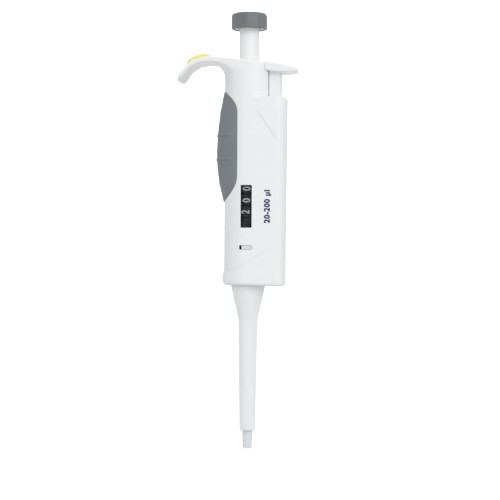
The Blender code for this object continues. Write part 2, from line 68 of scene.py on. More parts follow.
# The handle's radius is 0.04 less than the CAD model's: the printed marking takes up that room.
HANDLE_RADIUS = 12.86
HANDLE_FRONT = 19.3
FRONT_BULGE = 0.5
FRONT_CORNER = 4.5
FRONT_RAKE = 0.6
BOX_TOP = 99.0
COLUMN_FRONT = 10.8
CAVITY_RADIUS = 11.0
HOOK_HALF_WIDTH = 11.0
HOOK_WIDENING = 1.8
HOOK_WIDENS_X = (-18.0, -0.5)
HOOK_END_X = -37.6
HOOK_CORNER = 2.5
HOOK_EDGE = 1.1
THROAT_FILLET = 7.0
TIP_LOW_Z = 107.2
TIP_CORNER = 7.5
GRIP_Z = (43.7, 102.8)
GRIP_WIDEST_Z = 69.0
GRIP_SWELL = 3.9
GRIP_HALF_ANGLE = math.acos(5.0 / HANDLE_RADIUS)
WINDOW_Z = (30.3, 52.6)
WINDOW_HALF_WIDTH = 2.9
SLOT_X = (-3.5, 3.4)
SLOT_Z = (18.85, 21.0)
DRUM_RADIUS = 10.2
DRUM_CENTRES = {"units_drum": 51.2, "tens_drum": 45.1, "hundreds_drum": 39.0, "blank_drum": 32.9}
DIGIT_DROP = 0.4
DIGIT_HEIGHT = 4.0
BUTTON_Z = (135.5, 144.3)
BUTTON_SIDES = 10
BUTTON_TURN = 15.0
LEVER_HALF_WIDTH = 9.5
LEVER_TIP_X = 26.3
LEVER_TIP_RADIUS = 7.5
BAR_HALF_WIDTH = 5.7
BAR_LOW_Z = 84.0


# ---------------------------------------------------------------- camera and studio

def make_camera():
    azimuth = math.radians(6.0)
    roll = math.radians(0.33)
    distance = 0.98
    data = bpy.data.cameras.new("camera")
    data.sensor_width = 36.0
    data.lens = 133.2
    data.clip_end = 20.0
    data.shift_x = 0.0038
    data.shift_y = 0.07
    camera = bpy.data.objects.new("camera", data)
    bpy.context.scene.collection.objects.link(camera)
    place = Matrix.Translation((distance * math.sin(azimuth), -distance * math.cos(azimuth), 0.0003))
    aim = Matrix.Rotation(azimuth, 4, "Z") @ Matrix.Rotation(math.pi / 2, 4, "X")
    camera.matrix_world = place @ aim @ Matrix.Rotation(roll, 4, "Z")
    bpy.context.scene.camera = camera


def area_light(name, place, size, power, colour=(1, 1, 1), target=(0, 0, 0.03)):
    data = bpy.data.lights.new(name, "AREA")
    data.shape = "DISK"
    data.size = size
    data.energy = power
    data.color = colour
    light = bpy.data.objects.new(name, data)
    bpy.context.scene.collection.objects.link(light)
    light.location = place
    light.rotation_euler = (Vector(target) - Vector(place)).to_track_quat("-Z", "Y").to_euler()
    return light


def stage_material(name, glow):
    material = bpy.data.materials.new(name)
    material.use_nodes = True
    nodes = material.node_tree.nodes
    shader = nodes["Principled BSDF"]
    shader.inputs["Base Color"].default_value = (0.9, 0.9, 0.9, 1)
    shader.inputs["Roughness"].default_value = 0.9
    shader.inputs["Emission Color"].default_value = (1, 1, 1, 1)
    shader.inputs["Emission Strength"].default_value = glow
    return material


def make_studio():
    scene = bpy.context.scene
    scene.view_settings.view_transform = "Standard"
    world = bpy.data.worlds.new("studio")
    scene.world = world
    world.use_nodes = True
    tree = world.node_tree
    background = tree.nodes["Background"]
    background.inputs["Color"].default_value = (0.985, 0.99, 1.0, 1)
    direction = tree.nodes.new("ShaderNodeTexCoord").outputs["Generated"]
    parts = tree.nodes.new("ShaderNodeSeparateXYZ")
    tree.links.new(direction, parts.inputs[0])
    strength = add_range(tree, parts.outputs["Z"], 0.655, 0.885, -0.4, 0.4)
    tree.links.new(strength, background.inputs["Strength"])

    floor_mesh = bpy.data.meshes.new("floor")
    cage = bmesh.new()
    bmesh.ops.create_circle(cage, cap_ends=True, segments=96, radius=3.0)
    bmesh.ops.translate(cage, verts=cage.verts, vec=(0, 0, cad_low.z - 0.0005))
    cage.to_mesh(floor_mesh)
    cage.free()
    floor = bpy.data.objects.new("floor", floor_mesh)
    floor_mesh.materials.append(stage_material("pale_floor", 0.35))

    dome_mesh = bpy.data.meshes.new("backdrop")
    cage = bmesh.new()
    bmesh.ops.create_uvsphere(cage, u_segments=48, v_segments=24, radius=3.2)
    bmesh.ops.reverse_faces(cage, faces=cage.faces)
    cage.to_mesh(dome_mesh)
    cage.free()
    dome = bpy.data.objects.new("backdrop", dome_mesh)
    dome_mesh.materials.append(stage_material("white_backdrop", 1.1))
    dome.visible_diffuse = False
    dome.visible_glossy = False
    dome.visible_shadow = False
    floor.visible_diffuse = False
    for obj in (floor, dome):
        scene.collection.objects.link(obj)

    area_light("key", (0.6, -0.96, 0.6), 0.7, 4.1)
    area_light("strip", (-0.24, -1.0, 0.05), 0.35, 0.5)
    area_light("top", (0.1, -0.1, 1.1), 0.6, 0.6)


# ---------------------------------------------------------------- materials

def add_noise(tree, coordinates, scale, detail, roughness=0.5):
    noise = tree.nodes.new("ShaderNodeTexNoise")
    noise.inputs["Scale"].default_value = scale
    noise.inputs["Detail"].default_value = detail
    noise.inputs["Roughness"].default_value = roughness
    tree.links.new(coordinates, noise.inputs["Vector"])
    return noise.outputs["Fac"]


def add_range(tree, value, low, high, from_low=0.3, from_high=0.7):
    node = tree.nodes.new("ShaderNodeMapRange")
    node.inputs["From Min"].default_value = from_low
    node.inputs["From Max"].default_value = from_high
    node.inputs["To Min"].default_value = low
    node.inputs["To Max"].default_value = high
    tree.links.new(value, node.inputs["Value"])
    return node.outputs["Result"]


def add_blend(tree, factor, first, second):
    node = tree.nodes.new("ShaderNodeMix")
    node.data_type = "RGBA"
    for socket, colour in ((node.inputs[6], first), (node.inputs[7], second)):
        if isinstance(colour, tuple):
            socket.default_value = (*colour, 1)
        else:
            tree.links.new(colour, socket)
    tree.links.new(factor, node.inputs[0])
    return node.outputs[2]


def moulded(name, colour, roughness, grain=900.0, height=0.012, mottle=0.03, spread=0.06, **shader_values):
    """Moulded material: faint cloudy tone, uneven gloss and a fine surface grain."""
    material = bpy.data.materials.new(name)
    material.use_nodes = True
    tree = material.node_tree
    shader = tree.nodes["Principled BSDF"]
    coordinates = tree.nodes.new("ShaderNodeTexCoord").outputs["Object"]
    cloud = add_range(tree, add_noise(tree, coordinates, 60.0, 4.0), 0.0, 1.0)
    darker = tuple(channel * (1 - mottle) for channel in colour)
    tone = add_blend(tree, cloud, darker, colour)
    tree.links.new(tone, shader.inputs["Base Color"])
    gloss = add_noise(tree, coordinates, 180.0, 3.0)
    rough = add_range(tree, gloss, max(roughness - spread, 0.02), roughness + spread)
    tree.links.new(rough, shader.inputs["Roughness"])
    fine = add_noise(tree, coordinates, grain, 2.0)
    bump = tree.nodes.new("ShaderNodeBump")
    bump.inputs["Strength"].default_value = 0.35
    bump.inputs["Distance"].default_value = height * MM
    tree.links.new(fine, bump.inputs["Height"])
    tree.links.new(bump.outputs["Normal"], shader.inputs["Normal"])
    for socket, value in shader_values.items():
        shader.inputs[socket.replace("_", " ")].default_value = value
    return material


def turned_metal(name, colour, roughness):
    """Metal with the fine rings that turning or drawing leaves round its length."""
    material = moulded(name, colour, roughness, grain=2500.0, height=0.004, mottle=0.06, Metallic=1.0)
    tree = material.node_tree
    shader = tree.nodes["Principled BSDF"]
    coordinates = tree.nodes.new("ShaderNodeTexCoord").outputs["Object"]
    stretch = tree.nodes.new("ShaderNodeMapping")
    stretch.inputs["Scale"].default_value = (40.0, 40.0, 4000.0)
    tree.links.new(coordinates, stretch.inputs["Vector"])
    rings = add_noise(tree, stretch.outputs["Vector"], 1.0, 3.0)
    bump = tree.nodes.new("ShaderNodeBump")
    bump.inputs["Strength"].default_value = 0.3
    bump.inputs["Distance"].default_value = 0.006 * MM
    tree.links.new(rings, bump.inputs["Height"])
    tree.links.new(bump.outputs["Normal"], shader.inputs["Normal"])
    return material


LOOKS = {
    "white_plastic": moulded("white_plastic", (0.83, 0.835, 0.835), 0.38, height=0.01, mottle=0.015),
    "natural_plastic": moulded("natural_plastic", (0.73, 0.74, 0.75), 0.42, mottle=0.03),
    "grey_plastic": moulded("grey_plastic", (0.152, 0.17, 0.187), 0.42, mottle=0.08),
    "grey_soft_plastic": moulded(
        "grey_soft_plastic", (0.188, 0.207, 0.234), 0.62, grain=1600.0, height=0.03, mottle=0.07
    ),
    "light_grey_plastic": moulded("light_grey_plastic", (0.7, 0.705, 0.715), 0.45),
    "yellow_plastic": moulded("yellow_plastic", (0.93, 0.81, 0.085), 0.36, mottle=0.04),
    "black_plastic": moulded(
        "black_plastic", (0.006, 0.0063, 0.0095), 0.3, height=0.002, mottle=0.15, spread=0.03,
        Specular_IOR_Level=0.2,
    ),
    "clear_plastic": moulded(
        "clear_plastic", (0.02, 0.02, 0.022), 0.12, height=0.0001, spread=0.02, Alpha=0.05
    ),
    "stainless_steel": turned_metal("stainless_steel", (0.58, 0.585, 0.59), 0.26),
    "brass": turned_metal("brass", (0.74, 0.54, 0.24), 0.28),
    "black_rubber": moulded(
        "black_rubber", (0.018, 0.018, 0.019), 0.75, grain=1800.0, height=0.03, mottle=0.15
    ),
    "digit_ink": moulded("digit_ink", (0.6, 0.625, 0.68), 0.5, mottle=0.08),
    "navy_ink": moulded("navy_ink", (0.007, 0.026, 0.12), 0.5, mottle=0.12, Specular_IOR_Level=0.15),
}


# ---------------------------------------------------------------- mesh tools

def new_object(name, points, faces, look):
    """A mesh from points in millimetres."""
    mesh = bpy.data.meshes.new(name)
    mesh.from_pydata((np.asarray(points, float) * MM).tolist(), [], [list(face) for face in faces])
    mesh.validate()
    obj = bpy.data.objects.new(name, mesh)
    bpy.context.scene.collection.objects.link(obj)
    if look:
        mesh.materials.append(LOOKS[look])
    return obj


def shade(obj, angle=32.0):
    mesh = obj.data
    mesh.polygons.foreach_set("use_smooth", [True] * len(mesh.polygons))
    mesh.set_sharp_from_angle(angle=math.radians(angle))
    mesh.update()


def orient(obj):
    cage = bmesh.new()
    cage.from_mesh(obj.data)
    bmesh.ops.remove_doubles(cage, verts=cage.verts, dist=1e-7)
    bmesh.ops.recalc_face_normals(cage, faces=cage.faces)
    cage.to_mesh(obj.data)
    cage.free()


def carve(obj, other, operation="DIFFERENCE", keep=False):
    modifier = obj.modifiers.new("carve", "BOOLEAN")
    modifier.operation = operation
    modifier.solver = "MANIFOLD"
    modifier.object = other
    bpy.context.view_layer.update()
    graph = bpy.context.evaluated_depsgraph_get()
    mesh = bpy.data.meshes.new_from_object(obj.evaluated_get(graph))
    obj.modifiers.clear()
    obj.data = mesh
    if not keep:
        bpy.data.objects.remove(other, do_unlink=True)
    return obj


def finish_piece(obj, body, nodes=(), angle=32.0):
    shade(obj, angle)
    if nodes:
        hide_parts(*nodes)
    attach(obj, body)
    return obj


def block(name, x, y, z):
    corners = [(a, b, c) for a in x for b in y for c in z]
    faces = [(0, 1, 3, 2), (4, 6, 7, 5), (0, 4, 5, 1), (2, 3, 7, 6), (0, 2, 6, 4), (1, 5, 7, 3)]
    return new_object(name, corners, faces, None)


def turned(name, profile, look, segments=96, at=(0, 0)):
    """A closed profile of (radius, height), turned about +Z. A radius of 0 closes on the axis."""
    rows = [(max(radius, 0.0), height) for radius, height in profile]
    angles = np.arange(segments) * math.tau / segments
    points = []
    starts = []
    for radius, height in rows:
        starts.append(len(points))
        if radius == 0:
            points.append((at[0], at[1], height))
        else:
            points += [(at[0] + radius * math.cos(a), at[1] + radius * math.sin(a), height) for a in angles]
    faces = []
    closed = rows[0][0] > 0
    last = len(rows) if closed else len(rows) - 1
    for i in range(last):
        j = (i + 1) % len(rows)
        for s in range(segments):
            t = (s + 1) % segments
            upper = [starts[i] + s, starts[i] + t] if rows[i][0] else [starts[i]]
            lower = [starts[j] + t, starts[j] + s] if rows[j][0] else [starts[j]]
            faces.append(upper + lower)
    obj = new_object(name, points, faces, look)
    orient(obj)
    return obj


def tube_faces(levels, count):
    """Quads that join each ring of points to the next."""
    faces = []
    for level in range(levels - 1):
        start, above = level * count, (level + 1) * count
        for i in range(count):
            j = (i + 1) % count
            faces.append((start + i, start + j, above + j, above + i))
    return faces


def softened(profile, radius, steps=4):
    """The closed profile with every corner that isn't on the axis rounded off."""
    result = []
    count = len(profile)
    for i, corner in enumerate(profile):
        here = np.array(corner, float)
        back = np.array(profile[i - 1], float) - here
        ahead = np.array(profile[(i + 1) % count], float) - here
        on_axis = corner[0] == 0
        straight = abs(np.cross(back, ahead)) < 0.12 * np.linalg.norm(back) * np.linalg.norm(ahead)
        if on_axis or straight:
            result.append(tuple(here))
            continue
        reach = min(radius, 0.45 * np.linalg.norm(back), 0.45 * np.linalg.norm(ahead))
        start = here + back / np.linalg.norm(back) * reach
        end = here + ahead / np.linalg.norm(ahead) * reach
        for step in range(steps + 1):
            t = step / steps
            point = (1 - t) ** 2 * start + 2 * t * (1 - t) * here + t * t * end
            result.append(tuple(point))
    return result


def smooth_line(points, per_span=6, closed=False):
    """A Catmull-Rom line through the points."""
    count = len(points)
    spans = count if closed else count - 1
    array = np.array(points, float)
    line = []
    for i in range(spans):
        before = array[(i - 1) % count] if closed or i else 2 * array[0] - array[1]
        here = array[i]
        there = array[(i + 1) % count]
        beyond = array[(i + 2) % count] if closed or i + 2 < count else 2 * array[-1] - array[-2]
        for step in range(per_span):
            t = step / per_span
            point = 0.5 * (
                2 * here
                + (there - before) * t
                + (2 * before - 5 * here + 4 * there - beyond) * t * t
                + (3 * here - before - 3 * there + beyond) * t ** 3
            )
            line.append(tuple(point))
    if not closed:
        line.append(tuple(array[-1]))
    return line


# ---------------------------------------------------------------- solids from distance functions

def round_cut(a, b, radius):
    """Where both solids are, with a round edge."""
    u = np.maximum(a + radius, 0)
    v = np.maximum(b + radius, 0)
    return np.minimum(-radius, np.maximum(a, b)) + np.sqrt(u * u + v * v)


def round_join(a, b, radius):
    """Where either solid is, with a fillet between them."""
    u = np.maximum(radius - a, 0)
    v = np.maximum(radius - b, 0)
    return np.maximum(radius, np.minimum(a, b)) - np.sqrt(u * u + v * v)


def polygon_distance(px, py, corners):
    """Distance to a closed polygon, negative inside it."""
    nearest = 1e9
    inside = False
    for (ax, ay), (bx, by) in zip(corners, corners[1:] + corners[:1]):
        ex, ey = bx - ax, by - ay
        wx, wy = px - ax, py - ay
        t = np.clip((wx * ex + wy * ey) / (ex * ex + ey * ey), 0, 1)
        nearest = np.minimum(nearest, (wx - ex * t) ** 2 + (wy - ey * t) ** 2)
        crosses = (ay > py) != (by > py)
        inside = inside ^ (crosses & (wx < wy * ex / (ey or 1)))
    return np.where(inside, -1, 1) * np.sqrt(nearest)


def line_side(px, py, line):
    """Distance from an open line, positive on its left, and the share of the line up to the nearest point."""
    best = np.full(np.broadcast(px, py).shape, 1e9)
    side = np.zeros(best.shape)
    along = np.zeros(best.shape)
    spans = len(line) - 1
    for i, ((ax, ay), (bx, by)) in enumerate(zip(line, line[1:])):
        ex, ey = bx - ax, by - ay
        wx, wy = px - ax, py - ay
        t = np.clip((wx * ex + wy * ey) / (ex * ex + ey * ey), 0, 1)
        square = (wx - ex * t) ** 2 + (wy - ey * t) ** 2
        nearer = square < best
        best = np.where(nearer, square, best)
        side = np.where(nearer, np.sign(ex * wy - ey * wx), side)
        along = np.where(nearer, (i + t) / spans, along)
    return side * np.sqrt(best), along


def rounded_box(px, py, half_x, half_y, corner):
    qx = np.abs(px) - (half_x - corner)
    qy = np.abs(py) - (half_y - corner)
    return np.hypot(np.maximum(qx, 0), np.maximum(qy, 0)) + np.minimum(np.maximum(qx, qy), 0) - corner


def relaxed(points, quads, share=0.5):
    start = quads.ravel()
    end = np.roll(quads, -1, axis=1).ravel()
    count = len(points)
    degree = np.bincount(start, minlength=count) + np.bincount(end, minlength=count)
    moved = np.empty_like(points)
    for axis in range(3):
        total = np.bincount(start, points[end, axis], count) + np.bincount(end, points[start, axis], count)
        moved[:, axis] = total / np.maximum(degree, 1)
    return points + share * (moved - points)


def settled(points, distance, step, rounds=2):
    """The points moved along the gradient onto the solid's skin."""
    small = 0.01
    for _ in range(rounds):
        value = distance(*points.T)
        gradient = np.empty_like(points)
        for axis in range(3):
            shifted = points.copy()
            shifted[:, axis] += small
            gradient[:, axis] = (distance(*shifted.T) - value) / small
        length = np.maximum((gradient ** 2).sum(1), 0.2)
        move = -(value / length)[:, None] * gradient
        points = points + np.clip(move, -step, step)
    return points


def solid_skin(name, distance, low, high, step, look, rounds=3):
    """An even skin of quads over the solid where distance is negative (a surface net)."""
    counts = [int(math.ceil((b - a) / step)) + 1 for a, b in zip(low, high)]
    axes = [a + step * np.arange(n) for a, n in zip(low, counts)]
    grid = np.meshgrid(*axes, indexing="ij", sparse=True)
    field = np.array(np.broadcast_to(distance(*grid), counts), float)
    cells = [n - 1 for n in counts]
    total = np.zeros((*cells, 3))
    hits = np.zeros(cells)
    for axis in range(3):
        order = (axis, (axis + 1) % 3, (axis + 2) % 3)
        turned_field = np.transpose(field, order)
        turned_hits = np.transpose(hits, order)
        turned_total = np.transpose(total, (*order, 3))
        first, second = turned_field[:-1], turned_field[1:]
        crossed = (first < 0) != (second < 0)
        share = np.where(crossed, first / np.where(crossed, first - second, 1), 0)
        size_b, size_c = turned_hits.shape[1:]
        index = np.meshgrid(*[np.arange(n) for n in turned_hits.shape], indexing="ij", sparse=True)
        for b in (0, 1):
            for c in (0, 1):
                here = crossed[:, b : b + size_b, c : c + size_c]
                turned_hits += here
                turned_total[..., order[0]] += here * (index[0] + share[:, b : b + size_b, c : c + size_c])
                turned_total[..., order[1]] += here * (index[1] + b)
                turned_total[..., order[2]] += here * (index[2] + c)
    used = hits > 0
    number = np.full(cells, -1)
    number[used] = np.arange(used.sum())
    points = np.array(low) + step * total[used] / hits[used][:, None]
    quads = []
    for axis in range(3):
        order = (axis, (axis + 1) % 3, (axis + 2) % 3)
        turned_field = np.transpose(field, order)
        turned_number = np.transpose(number, order)
        first, second = turned_field[:-1], turned_field[1:]
        crossed = (first < 0) != (second < 0)
        i, j, k = np.nonzero(crossed[:, 1:-1, 1:-1])
        j, k = j + 1, k + 1
        corners = [(i, j - 1, k - 1), (i, j, k - 1), (i, j, k), (i, j - 1, k)]
        quad = np.stack([turned_number[corner] for corner in corners], 1)
        inward = first[i, j, k] >= 0
        quad[inward] = quad[inward][:, ::-1]
        quads.append(quad)
    quads = np.concatenate(quads)
    for _ in range(rounds):
        points = settled(relaxed(points, quads), distance, step)
    return new_object(name, points, quads.tolist(), look)


# ---------------------------------------------------------------- handle

# Side view (x, z) of the hook's top, from front to tip, and of its underside, from tip to column.
TOP_LINE = [
    (30, 115.3), (10.8, 117.4), (0, 118.55), (-8, 119.35), (-13, 119.9), (-17, 120.3), (-21.5, 120.6),
    (-26.2, 119.7), (-30, 118.05), (-33.4, 114.9), (-36.2, 111.2), (-37.5, 108.7), (-37.75, 107.0),
]
UNDER_LINE = [
    (-36.8, 107.35), (-35.7, 107.2), (-34.9, 107.7), (-34.35, 108.8), (-33.4, 110.9), (-31, 114.0),
    (-26.6, 116.6), (-21.6, 117.3), (-16.5, 117.0), (-10, 116.2), (-3.5, 115.4), (0.5, 114.9),
]
TOP_LOOP = smooth_line(TOP_LINE, 5) + [(-37.7, 80.0), (30.0, 80.0)]
UNDER_LOOP = smooth_line(UNDER_LINE, 5) + [(0.5, 135.0), (-50.0, 135.0), (-50.0, 107.35)]
UPPER_CREASE = smooth_line([(3.9, 94.2), (7.4, 88.9), (11.2, 83.3), (16.0, 76.3)], 4)
LOWER_CREASE = smooth_line(
    [(-11.5, 7.6), (-8.7, 8.1), (-5.9, 8.8), (-2.3, 10.3), (2.6, 13.0), (6.9, 16.1), (12.3, 20.9)], 3
)
# Each crease's line, its depth, how far it reaches sideways and where along it the ends fade.
CREASES = ((UPPER_CREASE, 0.44, 5.0, (0.3, 0.95)), (LOWER_CREASE, 0.3, 4.5, (0.1, 0.85)))
CREASE_EDGE = 0.4


def box_section(x, y, z):
    """The lower handle: a round back, a box front that leans out, a collar and a chamfered foot.

    The foot reaches a little lower towards the front."""
    front = HANDLE_FRONT + FRONT_RAKE * np.clip((z - 16) / (BOX_TOP - 16), 0, 1)
    front = front + FRONT_BULGE * np.maximum(1 - (y / 8.4) ** 2, 0)
    across_x = x - (front - FRONT_CORNER)
    across_y = np.abs(y) - (HANDLE_RADIUS - FRONT_CORNER)
    square = np.hypot(np.maximum(across_x, 0), np.maximum(across_y, 0))
    square = square + np.minimum(np.maximum(across_x, across_y), 0) - FRONT_CORNER
    back = HANDLE_RADIUS + 1.0 * np.exp(-(((z - 3.7) / 3.3) ** 2))
    round_back = np.hypot(x * HANDLE_RADIUS / back, y) - HANDLE_RADIUS
    plan = np.where(x < 0, round_back, square)
    drop = 0.45 * np.clip(x / 15, 0, 1)
    foot = np.maximum(-z - drop, (plan + 1.0 - z - drop) * 0.7071)
    return round_cut(round_cut(plan, z - BOX_TOP, 0.5), foot, 0.35)


def creases(x, y, z):
    """How deep the skin lies behind the two moulded creases, which fade out as they leave their lines."""
    depth = 0
    for line, deepest, reach, ends in CREASES:
        side, along = line_side(x, z, line)
        step = np.clip(0.5 - side / CREASE_EDGE, 0, 1)
        fade = np.clip(along / ends[0], 0, 1) * np.clip((1 - along) / (1 - ends[1]), 0, 1)
        depth = depth + deepest * step * step * (3 - 2 * step) * np.exp(-np.abs(side) / reach) * fade
    return depth * np.clip((np.abs(y) - 4.0) / 3.0, 0, 1)


def handle_skin(x, y, z):
    """The whole handle: the box section below, and the column with its finger hook above."""
    lower = box_section(x, y, z)
    column = round_cut(np.hypot(x, y) - HANDLE_RADIUS, x - COLUMN_FRONT, 0.3)
    start, end = HOOK_WIDENS_X
    share = np.clip((x - start) / (end - start), 0, 1)
    half_width = HOOK_HALF_WIDTH + HOOK_WIDENING * share * share * (3 - 2 * share)
    long = 30.0
    plan = rounded_box(x - (HOOK_END_X + long), y, long, half_width, HOOK_CORNER)
    arm = polygon_distance(x, z, UNDER_LOOP)
    fillet = np.clip(-x, 0.5, THROAT_FILLET)
    hook = round_cut(round_join(column, arm, fillet), plan, HOOK_EDGE)
    rounded_tip = rounded_box(y, z - (TIP_LOW_Z + long), HOOK_HALF_WIDTH + 1.0, long, TIP_CORNER)
    hook = round_cut(hook, np.where(x < -25, rounded_tip, -5.0), 0.9)
    upper = round_cut(np.minimum(column, hook), polygon_distance(x, z, TOP_LOOP), 0.9)
    body = np.minimum(lower, np.maximum(upper, 92.0 - z))
    return body + creases(x, y, z)


# Each rib's height on the handle, the half angle it covers and how far it stands out.
RIBS = ((91.8, 0.62, 0.45), (79.2, 0.99, 0.62), (66.5, 0.97, 0.62), (53.6, 0.6, 0.4))


def grip_reach(height, margin=0.0):
    """Half the angle that the grip covers at this height: a lens with a long straight middle."""
    low, high = GRIP_Z
    from_end = np.clip(np.minimum((height - low + margin) / 14, (high - height + margin) / 12), 0, 1)
    lens = np.sqrt(np.maximum(1 - (1 - from_end) ** 2, 0))
    return np.maximum(GRIP_HALF_ANGLE * lens ** 1.25, 0.02) + margin / HANDLE_RADIUS


def grip_ribs(height, turn):
    """Four ridges across the palm's side, the middle two wide and the end two short."""
    rise = 0
    for centre, half_angle, tall in RIBS:
        ridge = 1 / (1 + ((height - centre) / 0.76) ** 10)
        ends = np.clip((half_angle - np.abs(turn)) / 0.07, 0, 1)
        growing = 0.6 + 0.6 * (turn / half_angle) ** 2
        rise = rise + tall * growing * ridge * ends * ends * (3 - 2 * ends)
    return rise


def grip_shell(name, margin, pad, look):
    """The soft pad itself or, with pad off, the recess that it sits in."""
    low, high = GRIP_Z
    heights = np.linspace(low - margin, high + margin, 300 if pad else 90)
    across = 61
    shares = np.sin(np.linspace(-1, 1, across) * math.pi / 2)
    inner = HANDLE_RADIUS - (0.9 if pad else 1.15)
    rings = []
    for height in heights:
        reach = float(grip_reach(height, margin))
        turn = shares * reach
        angle = math.pi + turn
        if pad:
            side = high - GRIP_WIDEST_Z if height > GRIP_WIDEST_Z else GRIP_WIDEST_Z - low
            offset = min(abs(height - GRIP_WIDEST_Z) / side, 1)
            rise = GRIP_SWELL * (1 - offset ** 1.9) * np.cos(turn) ** 2 * (1 - shares ** 4)
            edge = np.minimum((1 - np.abs(shares)) * reach * HANDLE_RADIUS, 0.8)
            edge = np.minimum(edge, min(height - low, high - height) + 0.02)
            dip = 0.8 - np.sqrt(np.maximum(0.64 - (0.8 - edge) ** 2, 0))
            radius = HANDLE_RADIUS + 0.2 + rise + grip_ribs(height, turn) - dip * 0.8
            radius = np.maximum(radius, inner + 0.05)
        else:
            radius = np.full(across, HANDLE_RADIUS + 2.0)
        outside = np.stack([radius * np.cos(angle), radius * np.sin(angle), np.full(across, height)], 1)
        inside = np.stack([inner * np.cos(angle), inner * np.sin(angle), np.full(across, height)], 1)
        rings.append(np.concatenate([outside, inside[::-1]]))
    count = 2 * across
    points = np.concatenate(rings)
    faces = tube_faces(len(rings), count)
    for start in (0, (len(rings) - 1) * count):
        for i in range(across - 1):
            faces.append((start + i, start + i + 1, start + count - 2 - i, start + count - 1 - i))
    obj = new_object(name, points, faces, look)
    orient(obj)
    return obj


def opening_cutter(name, half_x, z_span, centre_x, corners, flare):
    """A cutter for an opening in the round side, wider at the skin so that the rim is rounded.

    The corner radii are those of its front end and its back end."""
    depths = (-1.5, 0.0, 0.08, 0.22, 0.45, 0.45 + 2.2)
    grows = (1.0 * flare + 0.02, 1.0 * flare, 0.5 * flare, 0.15 * flare, 0.0, 0.0)
    middle = sum(z_span) / 2
    half_z = (z_span[1] - z_span[0]) / 2
    rings = []
    for depth, grow in zip(depths, grows):
        radius = HANDLE_RADIUS - depth
        ring = []
        for quarter, (sx, sz) in enumerate(((1, 1), (-1, 1), (-1, -1), (1, -1))):
            corner = corners[0] if sx > 0 else corners[1]
            for step in range(5):
                angle = math.pi / 2 * (quarter + step / 4)
                x = centre_x + sx * (half_x - corner) + (corner + grow) * math.cos(angle)
                z = middle + sz * (half_z - corner) + (corner + grow) * math.sin(angle)
                ring.append((x, -math.sqrt(radius ** 2 - x ** 2), z))
        rings.append(ring)
    count = len(rings[0])
    points = [point for ring in rings for point in ring]
    faces = tube_faces(len(rings), count)
    faces.append(tuple(range(count)))
    faces.append(tuple(range((len(rings) - 1) * count, len(rings) * count)))
    obj = new_object(name, points, faces, None)
    orient(obj)
    return obj


def make_handle():
    step = 0.5
    shell = solid_skin("shell", handle_skin, (-39.0, -14.0, -1.0), (21.6, 14.0, 122.0), step, None)
    cavity = turned("cavity", [(0, 114.5), (CAVITY_RADIUS, 114.5), (CAVITY_RADIUS, 2.0), (0, 2.0)], None)
    carve(cavity, block("column_wall", (COLUMN_FRONT - 1.6, 20), (-15, 15), (95.3, 126)))
    carve(shell, cavity)
    carve(shell, turned("stem_hole", [(0, 125), (5.65, 125), (5.65, 110), (0, 110)], None))
    carve(shell, turned("nose_hole", [(0, 5), (9.5, 5), (9.5, -3), (0, -3)], None))
    carve(shell, block("front_cavity", (1, 17.6), (-10.85, 10.85), (2.3, 95.1)))
    bar_half = BAR_HALF_WIDTH + 0.3
    carve(shell, block("bar_slot", (10.85, 17.35), (-bar_half, bar_half), (94, 101)))
    carve(shell, opening_cutter("window_cut", WINDOW_HALF_WIDTH, WINDOW_Z, 0.0, (0.3, 0.3), 0.12))
    slot_half, slot_centre = (SLOT_X[1] - SLOT_X[0]) / 2, sum(SLOT_X) / 2
    carve(shell, opening_cutter("slot_cut", slot_half, SLOT_Z, slot_centre, (1.0, 0.3), 0.1))
    carve(shell, grip_shell("recess", 0.12, False, None))
    seam = 0.06
    for name, removed in (("left", (-seam, 20)), ("right", (-20, seam))):
        half = shell.copy()
        half.data = shell.data.copy()
        half.name = f"shell_{name}"
        bpy.context.scene.collection.objects.link(half)
        carve(half, block("other_side", (-45, 30), removed, (-5, 130)))
        half.data.materials.clear()
        half.data.materials.append(LOOKS["white_plastic"])
        finish_piece(half, "handle", [f"housing_{name}"], 40.0)
    bpy.data.objects.remove(shell, do_unlink=True)
    pad = grip_shell("soft_grip", 0.0, True, "grey_soft_plastic")
    finish_piece(pad, "handle", ["grip_pad"])


# ---------------------------------------------------------------- hook cap, button and lever

# Side views (x, z) of the cap on the hook and of the lever's plate.
CAP_LOOP = [
    (-32.6, 116.65), (-30.95, 118.1), (-27.1, 119.85), (-22.3, 120.85), (-19.9, 120.95), (-20.0, 121.55),
    (-22.6, 122.05), (-25.5, 121.85), (-28.1, 121.05), (-31, 119.45), (-32.85, 117.45),
]
LEVER_TOP = [(7, 118.2), (15, 116.9), (23.4, 115.2), (25.5, 114.7)]
LEVER_UNDER = [
    (26.15, 114), (26.3, 113.3), (25.8, 112.7), (24.6, 112.4), (17.4, 112.2), (12, 112.7), (7, 113.7),
]


def cap_skin(x, y, z):
    profile = polygon_distance(x, z, CAP_LOOP)
    return round_cut(profile, rounded_box(x + 26.4, y, 6.7, 8.0, 3.0), 0.3)


def button_corners(radius):
    angles = [math.radians(BUTTON_TURN) + math.tau * side / BUTTON_SIDES for side in range(BUTTON_SIDES)]
    return [(radius * math.cos(a), radius * math.sin(a)) for a in angles]


def button_skin(x, y, z):
    low, high = BUTTON_Z
    sides = polygon_distance(x, y, button_corners(8.5)) - 1.05
    reach = np.hypot(x, y)
    top = (z - high + 0.004 * reach ** 2) * 0.99
    solid = round_cut(round_cut(sides, top, 1.5), low - z, 0.25)
    hollow = np.maximum(reach - 7.95, z - (high - 2.9))
    return round_cut(solid, -hollow, 0.2)


